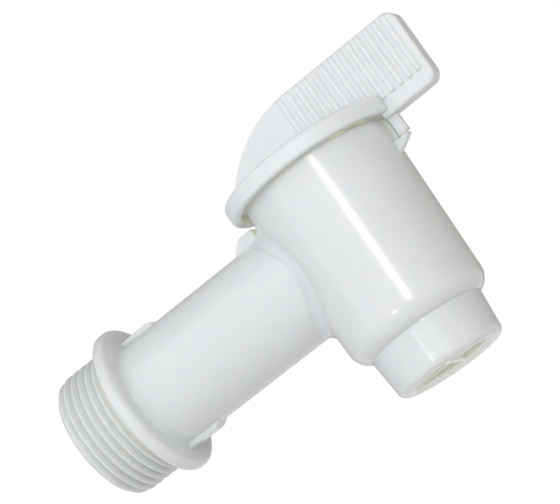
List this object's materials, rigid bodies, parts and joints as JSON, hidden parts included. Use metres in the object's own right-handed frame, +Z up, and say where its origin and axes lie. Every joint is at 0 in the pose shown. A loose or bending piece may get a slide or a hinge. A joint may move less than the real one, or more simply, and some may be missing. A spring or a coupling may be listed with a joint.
{
  "type": "dispensing tap",
  "caption": "White plastic quarter-turn dispensing tap with a threaded inlet spigot, a collar, an upright valve barrel with a downward spout and a ridged turn grip on a round cap.",
  "frame": {"origin": "centre of the collar face that seats on the container, on the inlet axis", "axes": "+X along the inlet tube from the container towards the valve, +Z up along the valve's turning axis to the grip, the spout points down along -Z"},
  "size_m": [0.0951, 0.037, 0.0591],
  "materials": {
    "body_plastic": "glossy",
    "handle_plastic": "glossy",
    "plug_plastic": "glossy",
    "insert_plastic": "glossy",
    "seal_rubber": "satin"
  },
  "bodies": {
    "tap": {"tap_body": "body_plastic", "port_seal": "seal_rubber", "flow_straightener": "insert_plastic"},
    "handle": {"turn_handle": "handle_plastic", "valve_plug": "plug_plastic", "upper_seal_ring": "seal_rubber", "lower_seal_ring": "seal_rubber"}
  },
  "joints": [
    {"name": "handle_turn", "type": "hinge", "parent": "tap", "child": "handle", "pos_m": [0.05405, 0, 0], "axis": [0, 0, 1], "range_deg": [0, 90]}
  ]
}
